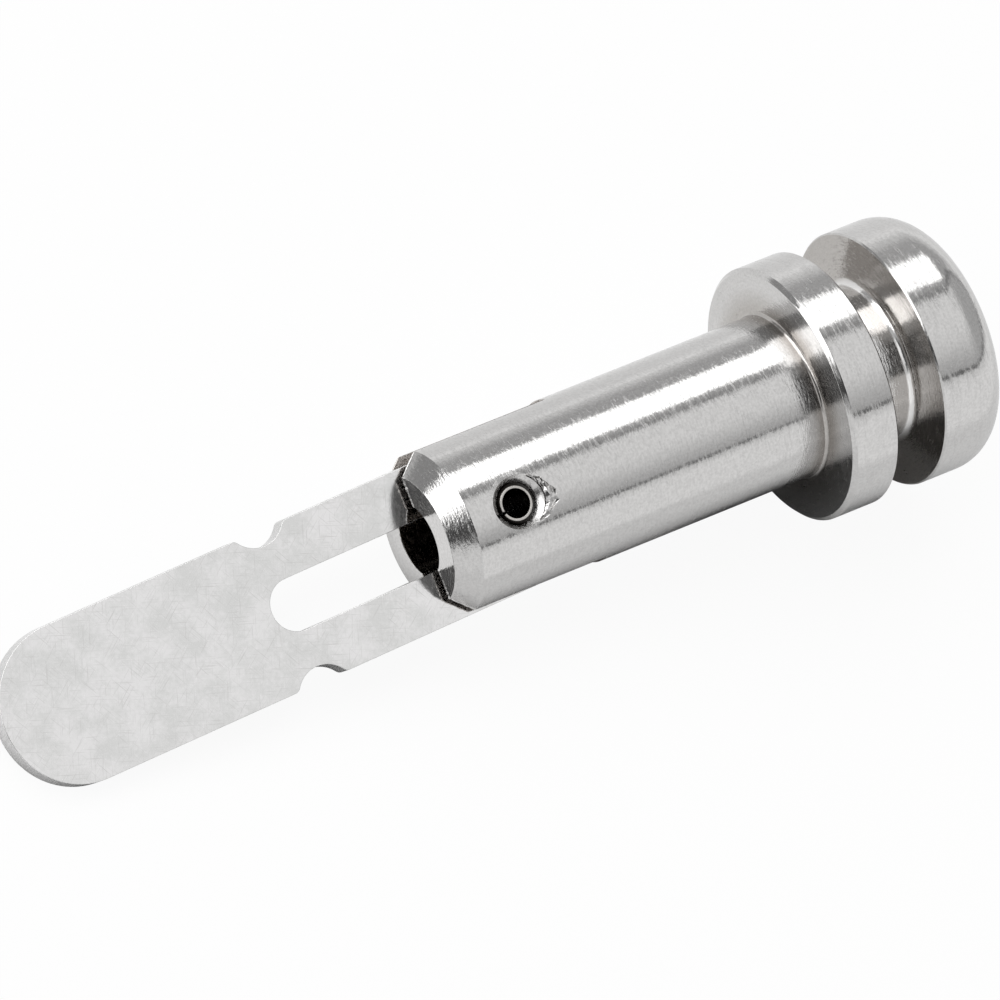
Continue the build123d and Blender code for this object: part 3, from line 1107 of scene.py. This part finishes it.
def coil_tree(material, sizes):
    """Geometry Nodes tree of a helical coil of round wire, with an input for each of its sizes."""
    tree = bpy.data.node_groups.new("Detent coil", "GeometryNodeTree")
    for name, value in sizes.items():
        socket = tree.interface.new_socket(name=name, in_out="INPUT", socket_type="NodeSocketFloat")
        socket.default_value = value
    tree.interface.new_socket(name="Geometry", in_out="OUTPUT", socket_type="NodeSocketGeometry")
    add = partial(add_node, tree)
    given = add("NodeGroupInput").outputs
    spiral = add(
        "GeometryNodeCurveSpiral",
        {
            "Resolution": 48, "Rotations": given["Turns"], "Height": given["Length"],
            "Start Radius": given["Coil Radius"], "End Radius": given["Coil Radius"],
        },
    )
    wire = add(
        "GeometryNodeCurvePrimitiveCircle", {"Resolution": 20, "Radius": given["Wire Radius"]}
    )
    skin = add(
        "GeometryNodeCurveToMesh", {"Curve": spiral, "Profile Curve": wire, "Fill Caps": True}
    )
    real = add("GeometryNodeRealizeInstances", {"Geometry": skin})
    dressed = add("GeometryNodeSetMaterial", {"Geometry": real, "Material": material})
    add("NodeGroupOutput", {"Geometry": dressed})
    return tree


class Stage(bpy.types.Operator):
    """Lay the white sweep, hang the lights and set up the camera."""

    bl_idname = "drop_nose_pin.stage"
    bl_label = "Stage"

    def execute(self, context):
        studio = context.scene.pin_studio
        lay_floor(studio)
        light_world(context.scene)
        hang_lamp(studio)
        set_camera(context.scene, studio)
        context.scene.view_settings.view_transform = "Standard"
        return {"FINISHED"}


SWEEP_REACH = 1.5
WHITE = (1.0, 1.0, 1.0, 1.0)
CAMERA_WHITE = 0.94
SHADE_GLOW = 0.35

# Where the paper carries painted shade or painted light, between two places in millimetres, and how
# much. The paper under the blade's slot has a painted pool of light that stands for light through
# the slot, and the nose face mirrors that.
UNDER_SLOT = (NOSE - ALONG * 2.9 * MM) * Vector((1, 1, 0)) + Vector((0.4, 0.8, 0)) * MM
PAPER = {
    "ahead": ("x", 2, -6, 1.0),
    "aside": ("y", 6, 18, 1.0),
    "before the flange": ("x", 9, 15, 1.0),
    "past the flange": ("x", 19, 17.5, 1.0),
    "under the pin": ("y", 1, -3.5, 1.0),
    "past the pin": ("y", -8, -5, 1.0),
    "far off": ("from the pin", 20, 120, 0.95),
    "lit through the slot": ("from the slot", 4, 1.5, 1.0),
}
SHADES = (
    ("ahead", "aside"),
    ("before the flange", "past the flange", "under the pin", "past the pin"),
)


def ray_kinds(tree):
    """Whether a ray comes from the camera, and whether a surface mirrored or bent it."""
    path = add_node(tree, "ShaderNodeLightPath").outputs
    either = {0: path["Is Glossy Ray"], 1: path["Is Transmission Ray"]}
    mirrored = add_node(tree, "ShaderNodeMath", either, operation="ADD", use_clamp=True)
    return path["Is Camera Ray"], mirrored


def lay_floor(studio):
    """White paper, which shows white where nothing shades it."""
    mesh = bpy.data.meshes.new("sweep")
    far = SWEEP_REACH
    corners = [(-far, -far, 0), (far, -far, 0), (far, far, 0), (-far, far, 0)]
    mesh.from_pydata(corners, [], [(0, 1, 2, 3)])
    floor = new_object("sweep", mesh)
    material = bpy.data.materials.new("white_paper")
    material.use_nodes = True
    tree = material.node_tree
    add = partial(add_node, tree)
    shader = tree.nodes["Principled BSDF"]
    held = add("ShaderNodeTexCoord").outputs["Object"]
    x, y, _ = add("ShaderNodeSeparateXYZ", {0: held}).outputs
    place = {
        "x": x,
        "y": y,
        "from the pin": add("ShaderNodeVectorMath", {0: held}, operation="LENGTH"),
        "from the slot": add(
            "ShaderNodeVectorMath", {0: held, 1: UNDER_SLOT}, operation="DISTANCE"
        ),
    }
    share = {
        label: add(
            "ShaderNodeMapRange", dict(zip(RAMP, (place[way], none * MM, full * MM, 0.0, most))),
            interpolation_type="SMOOTHSTEP", label=label,
        )
        for label, (way, none, full, most) in PAPER.items()
    }
    shades = []
    for edges in SHADES:
        whole = 1.0
        for edge in edges:
            whole = add("ShaderNodeMath", {0: share[edge], 1: whole}, operation="MULTIPLY")
        shades.append(whole)
    shaded = add("ShaderNodeMath", dict(enumerate(shades)), operation="MAXIMUM")
    camera_ray, mirrored = ray_kinds(tree)
    seen = add("ShaderNodeMath", {0: camera_ray, 1: CAMERA_WHITE}, operation="MULTIPLY")
    lit = add(
        "ShaderNodeMath", {0: share["lit through the slot"], 1: share["far off"]},
        operation="MAXIMUM",
    )
    white_share = add("ShaderNodeMath", {0: mirrored, 1: lit, 2: seen}, operation="MULTIPLY_ADD")
    # Painted shade and painted light on the paper, for mirrored rays only
    mirrored_shade = add("ShaderNodeMath", {0: shaded, 1: mirrored}, operation="MULTIPLY")
    plain, darker = linear(studio.floor), linear(studio.floor_shade)
    over = {"Factor": mirrored_shade, COLOUR_A: plain, COLOUR_B: darker}
    paper = add("ShaderNodeMix", over, data_type="RGBA")
    glow = add(
        "ShaderNodeMapRange", {"Value": mirrored_shade, "To Min": 1.0, "To Max": SHADE_GLOW}
    )
    plug(tree, shader, {"Base Color": paper, "Roughness": 0.9, "Specular IOR Level": 0.0})
    white = add("ShaderNodeEmission", {"Color": WHITE, "Strength": glow})
    mixed = add("ShaderNodeMixShader", {0: white_share, 1: shader, 2: white})
    plug(tree, tree.nodes["Material Output"], {"Surface": mixed})
    mesh.materials.append(material)


# The studio that the polished metal mirrors, in the drawing of the pin: each name is a plane
# through the pin, by its normal, and a direction's place is its distance from that plane.
PLANES = {
    "along": (1.0, 0.0, 0.0),
    "across": (0.0, 1.0, 0.0),
    "low seam": (0.0235, 0.7845, 0.6197),
    "high seam": (0.4348, -0.8526, 0.2899),
    "back seam": (0.2030, -0.6210, 0.7570),
    "lamp top": (-0.1676, 0.7967, -0.5808),
    "lamp foot": (-0.1373, -0.2227, 0.9652),
    "beside the camera": (0.3327, -0.9267, 0.1737),
    "height": (0.1167, 0.2233, 0.9677),
}

# What is painted on the white tent, one thing over another: how bright it is, and between
# which distances from each plane it comes in
TENT_WHITE = 0.97
TENT = (
    ("shade beside the low seam", 0.82, (("low seam", -0.17, -0.06),)),
    ("lamp side wall", 0.49, (("high seam", 0.01, -0.03),)),
    ("foot of that wall", 0.80, (("high seam", 0.01, -0.03), ("height", 0.27, 0.03))),
    ("nose end wall", 0.86, (("along", -0.15, -0.40),)),
    ("dark corner", 0.33, (("along", 0.05, -0.20), ("across", 0.2, 0.5), ("height", 0.38, 0.24))),
    (
        "glow over the lamp", 0.50,
        (("high seam", -0.01, -0.05), ("lamp foot", 0.2, 0.3), ("along", 0.6, 0.5)),
    ),
    (
        "strip lamp", 2.6,
        (("lamp top", 0.0, 0.065), ("lamp foot", 0.01, 0.05), ("along", 0.56, 0.47)),
    ),
    (
        "ceiling", 0.52,
        (("low seam", -0.01, 0.03), ("high seam", -0.01, 0.03), ("back seam", -0.02, 0.04)),
    ),
    (
        "bright ceiling", 0.95,
        (("low seam", -0.02, 0.60), ("high seam", -0.01, 0.03), ("along", 0.74, 0.50)),
    ),
    ("low seam", 0.12, (("low seam", -0.05, 0.0), ("low seam", 0.05, 0.0), ("along", 0.2, 0.3))),
    (
        "high seam", 0.22,
        (("high seam", -0.06, 0.0), ("high seam", 0.06, 0.0), ("back seam", -0.03, 0.03)),
    ),
    (
        "back seam", 0.22,
        (("back seam", -0.05, 0.0), ("back seam", 0.05, 0.0), ("high seam", -0.03, 0.03),
         ("low seam", -0.03, 0.03)),
    ),
    (
        "dark side by the camera", 0.08,
        (("low seam", -0.02, 0.06), ("beside the camera", -0.36, -0.12),
         ("along", -0.28, -0.38), ("height", 0.95, 0.88)),
    ),
)
PLAIN_LIGHT = 0.06

# From the pin, the lamp hangs behind it and high
LAMP_WAY = (ALONG * -0.1 + ACROSS * 0.83 + UP * 0.9).normalized()


def light_world(scene):
    """Tent that the metal mirrors, a plain soft light for surfaces, and white for the camera."""
    world = bpy.data.worlds.new("tent")
    scene.world = world
    world.use_nodes = True
    world.cycles.sampling_method = "NONE"
    tree = world.node_tree
    tree.nodes.clear()
    add = partial(add_node, tree)
    ray = add("ShaderNodeTexCoord").outputs["Generated"]
    normals = {name: LAID.to_3x3() @ Vector(normal) for name, normal in PLANES.items()}
    place = {
        name: add("ShaderNodeVectorMath", {0: ray, 1: tuple(normal)}, operation="DOT_PRODUCT")
        for name, normal in normals.items()
    }
    level = TENT_WHITE
    for label, brightness, edges in TENT:
        share = 1.0
        for plane, nothing, whole in edges:
            between = {"Value": place[plane], "From Min": nothing, "From Max": whole}
            edge = add("ShaderNodeMapRange", between, interpolation_type="SMOOTHSTEP")
            share = add("ShaderNodeMath", {0: edge, 1: share}, operation="MULTIPLY")
        level = add("ShaderNodeMix", {"Factor": share, "A": level, "B": brightness}, label=label)
    tent, plain, white = (
        add("ShaderNodeBackground", {"Color": WHITE, "Strength": strength})
        for strength in (level, PLAIN_LIGHT, 1.0)
    )
    camera_ray, mirrored = ray_kinds(tree)
    unseen = add("ShaderNodeMixShader", {0: mirrored, 1: plain, 2: tent})
    tent_and_white = add("ShaderNodeMixShader", {0: camera_ray, 1: unseen, 2: white})
    add("ShaderNodeOutputWorld", {"Surface": tent_and_white})


def hang_lamp(studio):
    """The strip lamp behind the pin, which throws its soft shadow to the front."""
    lamp = bpy.data.lights.new("strip_lamp", "AREA")
    lamp.shape = "RECTANGLE"
    lamp.size, lamp.size_y = studio.lamp_length, studio.lamp_width
    lamp.energy = studio.lamp_power
    hung = bpy.data.objects.new("strip_lamp", lamp)
    bpy.context.scene.collection.objects.link(hung)
    hung.location = LAMP_WAY * studio.lamp_distance
    hung.rotation_euler = (-LAMP_WAY).to_track_quat("-Z", "Y").to_euler()
    hung.visible_glossy = False
    hung.visible_camera = False


def set_camera(scene, studio):
    """The camera of the photograph."""
    lens = bpy.data.cameras.new("camera")
    lens.lens = studio.lens
    lens.sensor_width = 36.0
    lens.clip_end = 10.0
    camera = bpy.data.objects.new("camera", lens)
    scene.collection.objects.link(camera)
    look = Vector((
        cos(studio.elevation) * cos(studio.azimuth),
        cos(studio.elevation) * sin(studio.azimuth),
        -sin(studio.elevation),
    ))
    level = look.cross(Vector((0, 0, 1))).normalized()
    steep = level.cross(look)
    right = level * cos(studio.roll) + steep * sin(studio.roll)
    upward = right.cross(look)
    turn = Matrix((right, upward, -look)).transposed().to_4x4()
    camera.matrix_world = Matrix.Translation(Vector(studio.aim) - look * studio.distance) @ turn
    scene.camera = camera


class DropNosePinPanel(bpy.types.Panel):
    """Buttons for the pieces of the drop nose pin."""

    bl_idname = "VIEW3D_PT_drop_nose_pin"
    bl_label = "Drop Nose Pin"
    bl_space_type = "VIEW_3D"
    bl_region_type = "UI"
    bl_category = "Drop Nose Pin"

    def draw(self, context):
        for step in STEPS:
            self.layout.operator(step.bl_idname)


GROUPS = {
    "pin_turned_body": TurnedBodySizes,
    "pin_blade": BladeSizes,
    "pin_roll_pin": RollPinSizes,
    "pin_detent": DetentSizes,
    "pin_finishes": Finishes,
    "pin_studio": StudioSizes,
}
STEPS = (TurnedBody, Blade, RollPin, Detent, Stage)


def register():
    for kind in (*GROUPS.values(), *STEPS, DropNosePinPanel):
        bpy.utils.register_class(kind)
    for name, group in GROUPS.items():
        setattr(bpy.types.Scene, name, PointerProperty(type=group))


def unregister():
    for name in GROUPS:
        delattr(bpy.types.Scene, name)
    for kind in (DropNosePinPanel, *reversed(STEPS), *reversed(GROUPS.values())):
        bpy.utils.unregister_class(kind)


def main():
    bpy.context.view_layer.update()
    register()
    for step in STEPS:
        group, action = step.bl_idname.split(".")
        getattr(getattr(bpy.ops, group), action)()


if __name__ == "__main__":
    main()
